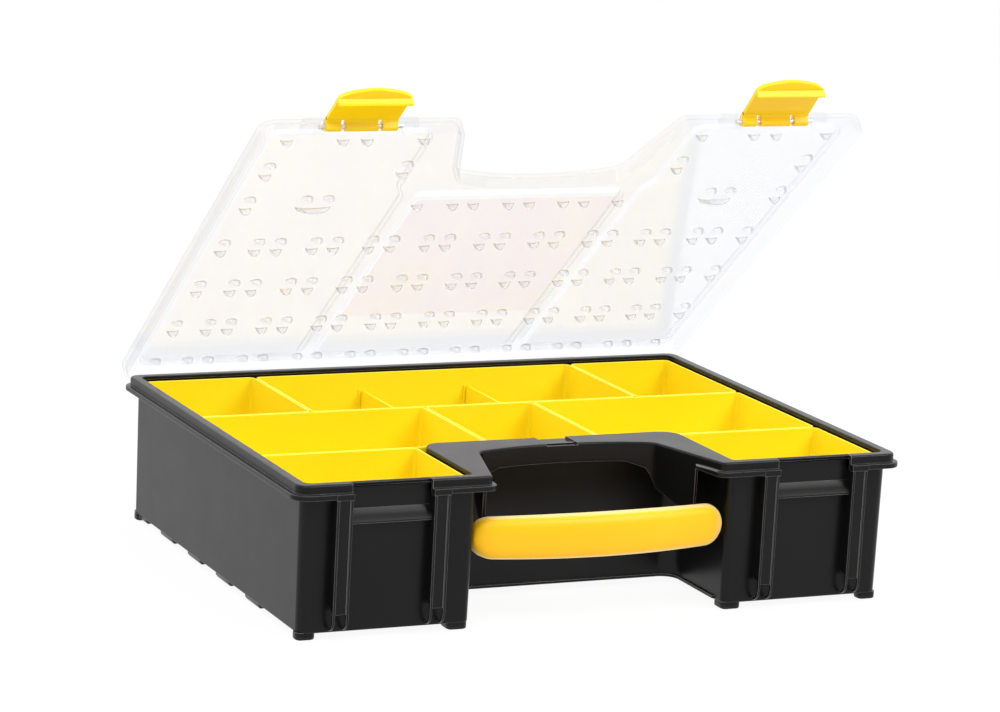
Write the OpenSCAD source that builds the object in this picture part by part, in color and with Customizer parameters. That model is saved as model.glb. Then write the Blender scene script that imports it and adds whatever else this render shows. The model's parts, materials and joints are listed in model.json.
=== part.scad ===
// Parts organizer: a carrying tray with lift-out bins under a clear lid that hinges at the back.
// +X is right, +Y is back and +Z is up. The origin is on the ground, below the middle of the half-open case.
// The lid and its latches are drawn closed, then turned to the half-open rest pose.

/* [Tray] */
// Width of the tray over its ledge
ledge_w = 423; // [415:1:440]
// Depth of the tray over its ledge
ledge_d = 328; // [324:1:340]
// Height of the rim above the ground
rim_top = 99; // [95:1:110]
// Thickness of the tray's walls
wall_t = 2.2; // [1.8:0.1:2.6]
// Height of the feet
foot_h = 4.5; // [3:0.5:6]
// Distance that the middle of the tray sits in front of the origin, because the open lid overhangs the back
tray_forward = 3.8; // [0:0.1:6]

/* [Hand opening] */
// Half width of the recess between its side walls
recess_half_w = 88.5; // [84:0.5:89]
// Distance from the middle of the tray to the recess's back wall
recess_y = 85; // [82:0.5:88]
// Height of the handle's middle above the ground
handle_z = 56.5; // [50:0.5:62]

/* [Bins] */
// Width of one column of the bin grid
unit_x = 40; // [39:0.5:40]
// Depth of the bins in the back row and the middle row
row_d = 110; // [104:1:110]
// Depth of the bins in the front row
front_d = 84; // [80:1:84]
// Height of a bin
bin_h = 89; // [80:1:89]
// Thickness of a bin's walls
bin_t = 1.5; // [1.2:0.1:1.8]

/* [Lid] */
// Angle of the lid above its closed position, in the rest pose
lid_rest = 39.5; // [30:0.5:45]
// Turn of the left latch out of its closed position, in the rest pose
latch_rest_left = 89.5; // [80:0.5:105]
// Turn of the right latch out of its closed position, in the rest pose
latch_rest_right = 97; // [80:0.5:105]
// Thickness of the lid's sheet
lid_t = 2.2; // [1.8:0.1:2.4]

/* [Hidden] */
$fn = 48;
eps = 0.01;

// tray: outlines and levels
rim_in = 3;
rim_w = ledge_w - 2 * rim_in;
rim_d = ledge_d - 2 * rim_in;
rim_r = 8;
rim_skin = 1.8;
wall_in = 4.9;
body_w = rim_w - 2 * wall_in;
body_d = rim_d - 2 * wall_in;
body_r = 7;
front_y = -body_d / 2;
ledge_bottom = rim_top - 9.2;
ledge_top = rim_top - 5.7;
floor_z = foot_h + wall_t;
base_bead_h = 2.4;
base_bead_out = 1;

// hand opening in the rim: slanted sides, small corners and a shallow arc at its back
mouth_half_w = 80.4;
mouth_back_half_w = 62;
mouth_corner_y = -98.5;
mouth_arc_y = -89;
mouth_r = 8;
brow_h = 13;
brow_back_y = -70;
cheek_z = 57;
cheek_front_y = -137;
tab_slot_w = 22;
tab_slot_depth = 1.4;

// front posts, the strikes between them and the feet
post_x = [114.8, 179.2];
post_w = 10.6;
fin_t = 1.7;
post_top = ledge_top;
post_plate_bottom = foot_h + 10;
post_curl_r = 7.5;
strike_top = 82.5;
strike_bottom = 73.5;
strike_out = 4.6;
notch_x = 147;
notch_half_w = 26.4;
inner_foot = [96.3, 148, 13.6, 14];
outer_foot = [197.2, 149.7, 12.6, 9.6];
ridge_l = 27;
ridge_pitch = 54;
ridge_count = 5;
ridge_first_y = -72;

// handle
handle_half_l = recess_half_w;
handle_end_y = -147.5;
handle_bow = 9.5;
handle_h = 27.5;
handle_depth = 17;
handle_r = 7.5;

// lid hinge
hinge_y = ledge_d / 2 + 0.5;
hinge_z = rim_top - 8.2;
hinge_x = 120;
knuckle_r = 3.3;
lug_r = 3.7;
lug_l = 12;
knuckle_l = 24;
hinge_gap = 0.4;
pin_r = 1.5;
run_gap = 0.06;
hinge_clear = 0.45;

// lid
lid_bottom = ledge_top + 0.3;
lid_top = rim_top + 6;
pan_z = rim_top + 0.2;
lid_r = rim_r + rim_in;
pan_edge_x = 200.5;
pan_edge_y = 151;
pan_r = 9;
channel_x = 80;
channel_w = 12;
pan_front_in_x = 93;
pan_mouth_y = -70.5;
boss_half_w = 38;
bump_r = 4.2;
bump_h = 4.2;
bump_dx = 7.5;
bump_dy = 5;
bump_edge_x = 191;
bump_front_x = 98.5;
pocket_x = 145;
label_t = 0.3;
label_half_w = 72;
label_back_y = 94;
label_front_y = -64;

// latches
latch_x = 145.2;
latch_w = 48;
latch_pivot_y = -160.4;
latch_pivot_z = rim_top + 1.6;
latch_barrel_r = 3.2;
latch_t = 2.4;
latch_out_y = -164.6;
latch_lug_t = 2.6;
latch_lug_x = 12.3;
latch_side_gap = 0.3;
hook_z = strike_bottom - 0.4;
hook_tip_y = front_y - 1;
crown_h = 8;
crown_flare = 24;
crown_steps = 16;

// bins
bin_gap = 0.6;
bin_r = 4;
grid_back_y = 152;
back_row_y = grid_back_y - row_d;
mid_row_y = back_row_y - row_d;
front_row_y = mid_row_y - front_d;
bin_z = floor_z + 0.3;
bin_floor = 1.6;
front_bin_edge = 91.6;
slot_rib_t = 1.4;
slot_rib_out = 1.6;
divider_t = 1.6;
divider_top = bin_z + bin_h - 12;
slot_gap = 0.3;
bin_color = [1, 0.85, 0.05];

// ---- shared outlines and moves ----

// Puts a piece, drawn about the middle of the tray, in the frame of the whole case
module placed() {
    translate([0, -tray_forward, 0]) children();
}

// A rectangle centred on the origin with rounded corners
module round_rect(w, d, r) {
    offset(r) square([w - 2 * r, d - 2 * r], center = true);
}

// Points along the hand opening's back arc, from the right corner to the left
function mouth_arc(n) = let (
        sag = mouth_arc_y - mouth_corner_y,
        r = (pow(mouth_back_half_w, 2) + sag * sag) / (2 * sag),
        half = asin(mouth_back_half_w / r)
    ) [for (i = [0 : n]) let (a = half * (1 - 2 * i / n)) [r * sin(a), mouth_arc_y - r + r * cos(a)]];

// The hand opening seen from above, grown outward by grow
module mouth(grow = 0) {
    front = -ledge_d;
    lean = (mouth_half_w - mouth_back_half_w) / (mouth_corner_y + rim_d / 2);
    foot = mouth_half_w + lean * (-rim_d / 2 - front);
    offset(delta = grow) offset(mouth_r) offset(delta = -mouth_r)
        polygon(concat(mouth_arc(16), [[-foot, front], [foot, front]]));
}

// The recess for the hand seen from above, grown outward by grow
module recess(grow = 0) {
    offset(delta = grow) offset(12) offset(delta = -12)
        translate([-recess_half_w, -recess_y - ledge_d]) square([2 * recess_half_w, ledge_d]);
}

// The tray's body seen from above, shrunk by inset
module body_outline(inset = 0) {
    difference() {
        round_rect(body_w - 2 * inset, body_d - 2 * inset, body_r - min(inset, 3));
        recess(inset);
    }
}

// The space for the bins at rim level
module bin_space() {
    difference() {
        round_rect(body_w - 2 * wall_t, body_d - 2 * wall_t, body_r - wall_t);
        translate([-recess_half_w, brow_back_y - ledge_d]) square([2 * recess_half_w, ledge_d]);
    }
}

// A bar along X with one end at x, of length l
module bar(x, y, z, r, l) {
    translate([x, y, z]) rotate([0, 90, 0]) cylinder(r = r, h = l);
}

// Turns its children about the lid's hinge from closed to the rest pose
module at_lid_rest() {
    translate([0, hinge_y, hinge_z]) rotate([-lid_rest, 0, 0]) translate([0, -hinge_y, -hinge_z]) children();
}

// Turns its children about the latches' pivot from closed to the rest pose
module at_latch_rest(side) {
    turn = side < 0 ? latch_rest_left : latch_rest_right;
    translate([0, latch_pivot_y, latch_pivot_z]) rotate([-turn, 0, 0])
        translate([0, -latch_pivot_y, -latch_pivot_z]) children();
}

// ---- tray ----

// Walls and floor
module tray_body() {
    difference() {
        translate([0, 0, foot_h]) linear_extrude(rim_top - foot_h) body_outline();
        translate([0, 0, floor_z]) linear_extrude(rim_top) body_outline(wall_t);
    }
    // bead round the foot of the recess
    translate([0, 0, foot_h]) linear_extrude(base_bead_h) difference() {
        intersection() {
            recess();
            translate([-recess_half_w, front_y + 12]) square([2 * recess_half_w, body_d]);
        }
        recess(-base_bead_out);
    }
}

// Rim: a top plate with a skirt, the ledge that the lid lands on and the brow over the hand opening
module rim() {
    translate([0, 0, rim_top - wall_t]) linear_extrude(wall_t) difference() {
        round_rect(rim_w, rim_d, rim_r);
        mouth();
        bin_space();
    }
    translate([0, 0, ledge_bottom]) linear_extrude(rim_top - ledge_bottom) difference() {
        round_rect(rim_w, rim_d, rim_r);
        mouth();
        round_rect(rim_w - 2 * rim_skin, rim_d - 2 * rim_skin, rim_r - rim_skin);
    }
    translate([0, 0, ledge_bottom]) linear_extrude(ledge_top - ledge_bottom) difference() {
        round_rect(ledge_w, ledge_d, rim_r + rim_in);
        mouth(-rim_in);
        round_rect(rim_w - 2 * rim_skin, rim_d - 2 * rim_skin, rim_r - rim_skin);
    }
    translate([0, 0, rim_top - brow_h]) linear_extrude(brow_h) intersection() {
        round_rect(rim_w, rim_d, rim_r);
        difference() {
            mouth(rim_skin);
            mouth();
        }
    }
    // down-turned edge behind the brow
    translate([-recess_half_w, brow_back_y - wall_t, rim_top - brow_h])
        cube([2 * recess_half_w, wall_t, brow_h]);
}

// Cheeks: the slanted walls behind the handle's ends
module cheeks() {
    translate([0, 0, cheek_z]) linear_extrude(rim_top - cheek_z) intersection() {
        difference() {
            mouth(rim_skin);
            mouth();
        }
        union() {
            for (side = [-1, 1])
                translate([side * (mouth_back_half_w + 10) - 12, cheek_front_y])
                    square([24, mouth_corner_y - 4 - cheek_front_y]);
        }
    }
}

// One fin of a post, with a curl back to the wall at its foot
module fin(x) {
    out = front_y + ledge_d / 2;
    translate([x + fin_t / 2, front_y, foot_h]) rotate([90, 0, -90]) linear_extrude(fin_t) difference() {
        square([out, post_top - foot_h]);
        translate([out, post_plate_bottom - foot_h - post_curl_r]) difference() {
            translate([-post_curl_r, -post_curl_r]) square(2 * post_curl_r);
            translate([-post_curl_r, post_curl_r]) circle(post_curl_r);
            translate([-3 * post_curl_r, -post_curl_r]) square([2 * post_curl_r, 4 * post_curl_r]);
            translate([-2 * post_curl_r, post_curl_r]) square([3 * post_curl_r, 2 * post_curl_r]);
        }
        translate([out - eps, -eps]) square([1, post_plate_bottom - foot_h - post_curl_r]);
    }
}

// Post: two fins and the plate between them
module post(x) {
    for (side = [-1, 1]) fin(x + side * (post_w - fin_t) / 2);
    translate([x - post_w / 2 + fin_t / 2, -ledge_d / 2 + 0.9, post_plate_bottom])
        cube([post_w - fin_t, 2, post_top - post_plate_bottom]);
}

// Strike: the wedge that a latch snaps over
module strike(x) {
    translate([x + notch_half_w, front_y + eps, 0]) rotate([90, 0, -90]) linear_extrude(2 * notch_half_w)
        polygon([
            [0, strike_bottom], [strike_out + eps, strike_bottom],
            [strike_out + eps, strike_bottom + 1.2], [0, strike_top]
        ]);
}

// Feet: rounded pads near the corners, at [x, y, width, depth] mirrored front to back
module feet(side, pad) {
    for (end = [-1, 1])
        translate([side * pad[0], end * pad[1], 0])
            linear_extrude(foot_h + eps) round_rect(pad[2], pad[3], 4);
}

module tray() {
    color([0.13, 0.13, 0.135]) placed() difference() {
        union() {
            tray_body();
            rim();
            cheeks();
            for (side = [-1, 1]) {
                for (x = post_x) post(side * x);
                strike(side * notch_x);
                feet(side, inner_foot);
                feet(side, outer_foot);
                for (i = [0 : ridge_count - 1])
                    translate([side * (body_w / 2 - 4.5), ridge_first_y + i * ridge_pitch, 1])
                        translate([0, 0, (foot_h - 1) / 2])
                            cube([6, ridge_l, foot_h - 1 + 2 * eps], center = true);
                for (end = [-1, 1]) {
                    lug_x = side * hinge_x + end * (knuckle_l + lug_l + 2 * hinge_gap) / 2;
                    bar(lug_x - lug_l / 2, hinge_y, hinge_z, lug_r, lug_l);
                }
            }
        }
        // the latches drop through the rim between the posts
        for (side = [-1, 1])
            translate([side * notch_x - notch_half_w, -ledge_d, ledge_bottom - 1])
                cube([2 * notch_half_w, ledge_d + front_y, rim_top]);
        // room for the lid's knuckles, and the bores for the hinge pins
        for (side = [-1, 1]) {
            room = knuckle_l + 2 * hinge_gap;
            bar(side * hinge_x - room / 2, hinge_y, hinge_z, knuckle_r + hinge_clear, room);
            translate([side * hinge_x - room / 2, rim_d / 2 + hinge_gap, hinge_z - 1])
                cube([room, 2 * rim_in, 10]);
            bore_l = knuckle_l + 2 * lug_l + 4;
            bar(side * hinge_x - bore_l / 2, hinge_y, hinge_z, pin_r, bore_l);
        }
        // shallow slot across the brow for the lid's tab
        translate([-tab_slot_w / 2, -recess_y - 20, rim_top - tab_slot_depth]) cube([tab_slot_w, 40, 10]);
    }
}

// ---- handle ----

// Handle: a thick bar on a wide arc, with its ends against the recess's side walls
module handle() {
    arc_r = (pow(handle_half_l, 2) + pow(handle_bow, 2)) / (2 * handle_bow);
    half_turn = 14;
    color([0.99, 0.76, 0.12]) placed() intersection() {
        translate([0, handle_end_y - handle_bow + arc_r, handle_z]) rotate([0, 0, -90 - half_turn])
            rotate_extrude(angle = 2 * half_turn) translate([arc_r, 0])
                offset(handle_r)
                    square([handle_depth - 2 * handle_r, handle_h - 2 * handle_r], center = true);
        translate([0, handle_end_y + 40, handle_z]) rotate([90, 0, 0]) linear_extrude(80)
            intersection() {
                hull() for (side = [-1, 1]) translate([side * (handle_half_l - 11), 0]) circle(handle_h / 2);
                square([2 * handle_half_l, 2 * handle_h], center = true);
            }
    }
}

module lid_hinge_pin(side) {
    l = knuckle_l + 2 * lug_l + 2 * hinge_gap - 1;
    color("silver") placed() bar(side * hinge_x - l / 2, hinge_y, hinge_z, pin_r - 0.02, l);
}

// ---- lid ----

// Outline of the right side pan, which is narrower beside the hand opening
module side_pan() {
    channel_edge_x = channel_x + channel_w / 2;
    offset(pan_r) offset(delta = -pan_r) polygon([
        [channel_edge_x, pan_edge_y], [pan_edge_x, pan_edge_y], [pan_edge_x, -pan_edge_y],
        [pan_front_in_x, -pan_edge_y], [pan_front_in_x, pan_mouth_y - 12], [channel_edge_x, pan_mouth_y]
    ]);
}

module middle_pan() {
    half = channel_x - channel_w / 2;
    offset(4) offset(delta = -4) translate([-half, pan_mouth_y]) square([2 * half, pan_edge_y - pan_mouth_y]);
}

module pans() {
    side_pan();
    mirror([1, 0]) side_pan();
    middle_pan();
}

// The lid's outline seen from above
module lid_outline() {
    difference() {
        round_rect(ledge_w, ledge_d, lid_r);
        mouth(-rim_in);
    }
}

// Locating bump: a half-moon wedge whose upright face looks at the grid line at y
module bump(x, y, facing, stretch = 1) {
    translate([x, y + facing * bump_dy, pan_z - bump_h]) intersection() {
        if (stretch == 1) cylinder(r1 = bump_r * 0.6, r2 = bump_r, h = bump_h + eps, $fn = 24);
        else linear_extrude(bump_h + eps) hull()
            for (end = [-1, 1]) translate([end * bump_r * stretch, 0]) circle(bump_r);
        translate([-15, facing > 0 ? 0 : -10, 0]) cube([30, 10, bump_h + 1]);
    }
}

// Bumps on both sides of the grid lines that the bins' walls can follow
module bumps() {
    for (row = [0 : 4], col = [-4 : 4], end = [-1, 1], facing = [-1, 1]) {
        x = col * unit_x + end * bump_dx;
        inside = row < 4 || abs(x) < 2 * unit_x;
        if (inside && (row > 0 || facing < 0) && (row < 4 || facing > 0))
            bump(x, grid_back_y - row * row_d / 2, facing);
    }
    for (side = [-1, 1]) {
        for (row = [0 : 4], facing = [-1, 1])
            if (row > 0 || facing < 0) bump(side * bump_edge_x, grid_back_y - row * row_d / 2, facing);
        for (x = [bump_edge_x, bump_front_x], facing = [-1, 1])
            bump(side * x, (mid_row_y + front_row_y) / 2, facing);
        for (x = [bump_edge_x - 1, 152.6, 136.4, bump_front_x]) bump(side * x, front_row_y, 1);
        for (end = [-1, 1]) bump(side * pocket_x + end * bump_dx, mid_row_y, -1);
        bump(side * pocket_x, mid_row_y, 1, 2);
    }
}

// Lid in its closed position
module lid_closed() {
    difference() {
        union() {
            difference() {
                translate([0, 0, lid_bottom]) linear_extrude(lid_top - lid_bottom) lid_outline();
                // hollow border that clears the tray's rim
                translate([0, 0, lid_bottom - 1]) linear_extrude(lid_top - lid_t - lid_bottom + 1)
                    offset(delta = -lid_t) lid_outline();
            }
            // pans: floors and walls hanging from the border
            translate([0, 0, pan_z]) linear_extrude(lid_top - pan_z) offset(delta = lid_t) pans();
            // bosses that carry the latch pivots
            for (side = [-1, 1])
                translate([side * latch_x - boss_half_w, -ledge_d / 2 + 0.5, rim_top + 0.4])
                    cube([2 * boss_half_w, ledge_d / 2 - pan_edge_y + 3.5, lid_top - rim_top - 0.4]);
            bumps();
            // hinge knuckles
            for (side = [-1, 1]) {
                bar(side * hinge_x - knuckle_l / 2, hinge_y, hinge_z, knuckle_r, knuckle_l);
                translate([side * hinge_x - knuckle_l / 2, ledge_d / 2 - lid_t, hinge_z])
                    cube([knuckle_l, lid_t + 3, lid_bottom + 4 - hinge_z]);
            }
        }
        translate([0, 0, pan_z + lid_t]) linear_extrude(lid_top) pans();
        for (side = [-1, 1]) {
            // room for the tray's hinge lugs, and the bore for the pin
            for (end = [-1, 1]) {
                room = lug_l + 2 * hinge_gap;
                x = side * hinge_x + end * (knuckle_l + lug_l + 2 * hinge_gap) / 2;
                bar(x - room / 2, hinge_y, hinge_z, lug_r + hinge_clear, room);
            }
            bar(side * hinge_x - knuckle_l / 2 - 1, hinge_y, hinge_z, pin_r + run_gap, knuckle_l + 2);
            latch_window(side);
        }
    }
    for (side = [-1, 1]) latch_lugs(side);
}

// Opening in the lid's front edge for a latch
module latch_window(side) {
    half = latch_w / 2 + latch_side_gap;
    depth = latch_pivot_y + latch_barrel_r + 0.5 + ledge_d;
    translate([side * latch_x - half, -ledge_d, lid_bottom - 2]) cube([2 * half, depth, lid_top]);
    l = latch_w + 10;
    bar(side * latch_x - l / 2, latch_pivot_y, latch_pivot_z, pin_r, l);
}

// The two narrow lugs of the lid that sit in a latch's slots
module latch_lugs(side) {
    for (end = [-1, 1]) {
        x = side * latch_x + end * latch_lug_x - latch_lug_t / 2;
        difference() {
            union() {
                bar(x, latch_pivot_y, latch_pivot_z, 3, latch_lug_t);
                translate([x, latch_pivot_y, latch_pivot_z - 1.2])
                    cube([latch_lug_t, 6, lid_top - latch_pivot_z + 1.2]);
            }
            bar(x - 1, latch_pivot_y, latch_pivot_z, pin_r, latch_lug_t + 2);
        }
    }
}

module lid() {
    color([0.93, 0.94, 0.96, 0.35]) placed() at_lid_rest() lid_closed();
}

module lid_label() {
    color([1, 0.9, 0.9, 0.6]) placed() at_lid_rest()
        translate([-label_half_w, label_front_y, pan_z + lid_t])
            cube([2 * label_half_w, label_back_y - label_front_y, label_t]);
}

// ---- latches ----

// Side view of a latch in its closed position: barrel neck, plate and hook
module latch_profile() {
    z0 = hook_z - latch_t;
    inner_y = latch_out_y + latch_t;
    polygon([
        [latch_out_y, latch_pivot_z], [inner_y + 1, latch_pivot_z], [inner_y + 1, latch_pivot_z - 3],
        [inner_y, latch_pivot_z - 5], [inner_y, hook_z], [hook_tip_y, hook_z], [hook_tip_y, hook_z - 1.2],
        [hook_tip_y - 1.2, z0], [latch_out_y + 1, z0], [latch_out_y, z0 + 1]
    ]);
}

module latch_closed(x) {
    difference() {
        union() {
            translate([x + latch_w / 2, 0, 0]) rotate([90, 0, -90]) mirror([1, 0])
                linear_extrude(latch_w) latch_profile();
            bar(x - latch_w / 2, latch_pivot_y, latch_pivot_z, latch_barrel_r, latch_w);
        }
        bar(x - latch_w / 2 - 1, latch_pivot_y, latch_pivot_z, pin_r + run_gap, latch_w + 2);
        for (end = [-1, 1])
            translate([x + end * latch_lug_x, latch_pivot_y, latch_pivot_z + 1.8])
                cube([latch_lug_t + 2 * latch_side_gap, 14, 12], center = true);
    }
}

// Crowned finger tab below the hook, flared outward
module crown(x) {
    half = latch_w / 2;
    translate([x, latch_out_y + latch_t, hook_z - latch_t + 1]) rotate([90 - crown_flare, 0, 0])
        linear_extrude(latch_t) polygon([
            for (i = [0 : crown_steps]) let (t = i / crown_steps)
                [half * (2 * t - 1), i == 0 || i == crown_steps ? 0 : -2 - (crown_h - 1) * sin(180 * t)]
        ]);
}

module latch(side) {
    color([1, 0.78, 0.08]) placed() at_lid_rest() at_latch_rest(side) union() {
        latch_closed(side * latch_x);
        crown(side * latch_x);
    }
}

module latch_pin(x) {
    l = latch_w + 8;
    color("silver") placed() at_lid_rest() bar(x - l / 2, latch_pivot_y, latch_pivot_z, pin_r - 0.02, l);
}

// ---- bins ----

// Bin between two grid corners: an open box with rounded corners
module bin(x0, x1, y0, y1) {
    w = x1 - x0 - bin_gap;
    d = y1 - y0 - bin_gap;
    translate([(x0 + x1) / 2, (y0 + y1) / 2, bin_z]) difference() {
        linear_extrude(bin_h) round_rect(w, d, bin_r);
        translate([0, 0, bin_floor])
            linear_extrude(bin_h) round_rect(w - 2 * bin_t, d - 2 * bin_t, bin_r - bin_t);
    }
}

// Ribs on the long walls that hold a divider at x
module divider_slots(x) {
    pitch = divider_t + 2 * slot_gap + slot_rib_t;
    for (end = [-1, 1], side = [-1, 1]) {
        wall_y = end > 0 ? grid_back_y : back_row_y;
        inner_y = wall_y - end * (bin_gap / 2 + bin_t);
        translate([x + side * pitch / 2, inner_y - end * (slot_rib_out / 2 - eps), bin_z + bin_floor - eps])
            translate([-slot_rib_t / 2, -slot_rib_out / 2, 0]) cube([slot_rib_t, slot_rib_out, bin_h - 12]);
    }
}

// Bin that spans columns of one row: x0 and x1 in mm, and the row counted from the back
module row_bin(x0, x1, row) {
    row_y = [grid_back_y, back_row_y, mid_row_y, front_row_y];
    color(bin_color) placed() bin(x0, x1, row_y[row + 1], row_y[row]);
}

module bin_back_left() { row_bin(-5 * unit_x, -3 * unit_x, 0); }
module bin_back_right() { row_bin(3 * unit_x, 5 * unit_x, 0); }

module bin_back_long() {
    color(bin_color) placed() union() {
        bin(-3 * unit_x, 3 * unit_x, back_row_y, grid_back_y);
        for (side = [-1, 1]) divider_slots(side * unit_x);
    }
}

module bin_middle_left() { row_bin(-5 * unit_x, -unit_x, 1); }
module bin_middle_small() { row_bin(-unit_x, unit_x, 1); }
module bin_middle_right() { row_bin(unit_x, 5 * unit_x, 1); }
module bin_front_left() { row_bin(-5 * unit_x, -front_bin_edge, 2); }
module bin_front_right() { row_bin(front_bin_edge, 5 * unit_x, 2); }

// Divider: a plate that drops between the slot ribs of the long bin
module divider(x) {
    play = bin_gap / 2 + bin_t + slot_gap;
    color(bin_color) placed() translate([x - divider_t / 2, back_row_y + play, bin_z + bin_floor + slot_gap])
        cube([divider_t, row_d - 2 * play, divider_top - bin_z - bin_floor - slot_gap]);
}

tray();
handle();
lid_hinge_pin(-1);  // lid_hinge_pin_left
lid_hinge_pin(1);  // lid_hinge_pin_right
lid();
lid_label();
latch(-1);  // latch_left
latch(1);  // latch_right
latch_pin(-latch_x);  // latch_pin_left
latch_pin(latch_x);  // latch_pin_right
bin_back_left();
bin_back_long();
bin_back_right();
bin_middle_left();
bin_middle_small();
bin_middle_right();
bin_front_left();
bin_front_right();
divider(-unit_x);  // divider_left
divider(unit_x);  // divider_right
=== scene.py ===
"""Looks of the parts organizer: black tray, yellow bins, handle and latches, and a clear lid.

Pieces are built in millimetres about the middle of the tray, with the lid and latches closed. The lid's
pieces are then turned to the rest pose, and all is moved into the CAD model's frame and scaled to metres.
"""

import json
import math

import bmesh
import bpy
from mathutils import Matrix, Vector
from mathutils.geometry import tessellate_polygon

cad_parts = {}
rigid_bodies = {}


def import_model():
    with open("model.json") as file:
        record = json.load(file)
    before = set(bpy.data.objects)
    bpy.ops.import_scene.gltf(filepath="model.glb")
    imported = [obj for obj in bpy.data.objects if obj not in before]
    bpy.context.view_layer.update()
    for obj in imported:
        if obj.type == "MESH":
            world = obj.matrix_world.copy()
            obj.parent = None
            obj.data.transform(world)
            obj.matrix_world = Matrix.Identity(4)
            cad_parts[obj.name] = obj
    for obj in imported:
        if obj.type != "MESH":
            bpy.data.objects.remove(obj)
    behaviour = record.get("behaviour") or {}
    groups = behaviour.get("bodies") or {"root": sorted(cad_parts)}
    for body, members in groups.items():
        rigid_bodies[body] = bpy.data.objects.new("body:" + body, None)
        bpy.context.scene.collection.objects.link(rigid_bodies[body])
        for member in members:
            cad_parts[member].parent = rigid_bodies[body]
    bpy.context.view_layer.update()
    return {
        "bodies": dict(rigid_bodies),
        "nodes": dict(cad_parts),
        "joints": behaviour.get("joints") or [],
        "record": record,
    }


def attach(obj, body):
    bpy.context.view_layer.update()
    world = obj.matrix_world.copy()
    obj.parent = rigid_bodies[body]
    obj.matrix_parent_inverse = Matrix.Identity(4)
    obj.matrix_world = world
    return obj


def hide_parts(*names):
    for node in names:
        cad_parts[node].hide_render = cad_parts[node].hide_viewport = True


MM = 0.001
# The CAD model's origin lies 3.8 mm behind the middle of the tray
TO_FRAME = Matrix.Translation((0, -3.8, 0))
# Edges that turn by more than this stay sharp, in degrees
SHARP_ANGLE = 32

# Levels and outlines of the tray, in mm
RIM_TOP = 99.0
FOOT_H = 4.5
LEDGE_TOP = 93.3
LEDGE_BOTTOM = 89.8
RIM_X, RIM_Y = 208.5, 161.0
WALL_X, WALL_Y = 203.6, 156.1
WALL_T = 2.2
RECESS_X, RECESS_Y = 88.5, -85.0
BROW_BACK_Y = -70.0
BROW_BOTTOM = 86.0
CHEEK_BOTTOM = 57.0
CHEEK_FRONT_Y = -137.0
NOTCH_X0, NOTCH_X1 = 120.6, 173.4
POST_X = (114.8, 179.2)
POST_W, POST_CAP_W, FIN_T = 10.6, 11.8, 1.7
POST_PLATE_BOTTOM = 17.5
NOTCH_X = 147.0
RIDGE_STEP = 54.0

# Hand opening
MOUTH_X, MOUTH_BACK_X = 80.4, 62.0
MOUTH_CORNER_Y, MOUTH_ARC_Y = -98.5, -89.0

# Lid, with its hinge and latches
HINGE_Y, HINGE_Z, HINGE_X = 164.5, 90.8, 120.0
KNUCKLE_HALF, LUG_HALF, LUG_SHIFT = 12.0, 6.0, 18.4
HINGE_PLAY = 0.4
LID_REST = 39.5
LATCH_REST = {"left": 89.5, "right": 97.0}
LID_X, LID_Y = 211.5, 164.0
LID_BOTTOM, LID_TOP, LID_T = 93.6, 105.0, 2.2
PAN_Z = 99.2
PAN_X, PAN_Y = 200.5, 151.0
PAN_FRONT_X, PAN_MOUTH_Y = 93.0, -70.5
CHANNEL_X, CHANNEL_W = 80.0, 13.0
PIVOT_Y, PIVOT_Z = -160.4, 100.6
LATCH_X = 145.2
LATCH_HALF = 24.0
LATCH_GAP_IN, LATCH_GAP_OUT = 10.7, 13.9
LATCH_OUT, LATCH_T = -164.6, 2.4

# Bins, on a grid of columns and rows
UNIT = 40.0
ROW_UNIT = 55.0
ROWS = (152.0, 42.0, -68.0, -152.0)
FRONT_BIN_X = 91.6
BIN_Z, BIN_H, BIN_T = 7.0, 89.0, 1.5
DIVIDER_DROP = 12.0


# ---- outlines ----

def corner_outline(corners, steps=6):
    """Closed outline from (x, y, radius, kind) corners, counter-clockwise: a list of (x, y, nx, ny, kind)."""
    made = []
    count = len(corners)
    for i in range(count):
        x, y, radius, kind = corners[i]
        here = Vector((x, y))
        back = here - Vector(corners[i - 1][:2])
        ahead = Vector(corners[(i + 1) % count][:2]) - here
        back = back.normalized() if back.length > 1e-6 else ahead.normalized()
        ahead = ahead.normalized() if ahead.length > 1e-6 else back
        n0 = Vector((back.y, -back.x))
        n1 = Vector((ahead.y, -ahead.x))
        turn = back.x * ahead.y - back.y * ahead.x
        if radius < 0.01 or abs(turn) < 1e-3:
            miter = (n0 + n1) / max(0.35, 1 + n0.dot(n1))
            made.append((x, y, miter.x, miter.y, kind))
            continue
        reach = radius * math.tan(math.acos(max(-1, min(1, back.dot(ahead)))) / 2)
        side = 1 if turn > 0 else -1
        centre = here - back * reach - n0 * radius * side
        for k in range(steps + 1):
            n = n0.slerp(n1, k / steps)
            p = centre + n * radius * side
            made.append((p.x, p.y, n.x, n.y, kind))
    return made


def mouth_corners(shrink=0.0, radius=8.0, kind="brow"):
    """Corners of the hand opening from its left front to its right front, shrunk by shrink."""
    sag = MOUTH_ARC_Y - MOUTH_CORNER_Y
    arc_r = (MOUTH_BACK_X**2 + sag**2) / (2 * sag)
    slant = Vector((MOUTH_X - MOUTH_BACK_X, -RIM_Y - MOUTH_CORNER_Y)).normalized()
    shift = shrink / abs(slant.y)
    x_back, x_front = MOUTH_BACK_X - shift, MOUTH_X - shift
    r = arc_r - shrink
    half = math.asin(x_back / r)
    arc = []
    count = 14
    for i in range(count + 1):
        a = half * (2 * i / count - 1)
        arc.append((r * math.sin(a), MOUTH_ARC_Y - arc_r + r * math.cos(a)))
    corners = [(-x_front, -RIM_Y, 4.0, kind)]
    corners += [(arc[0][0], arc[0][1], radius, kind)]
    corners += [(x, y, 0.0, kind) for x, y in arc[2:-2]]
    corners += [(arc[-1][0], arc[-1][1], radius, kind)]
    corners += [(x_front, -RIM_Y, 4.0, kind)]
    return corners


# ---- meshes ----

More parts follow.
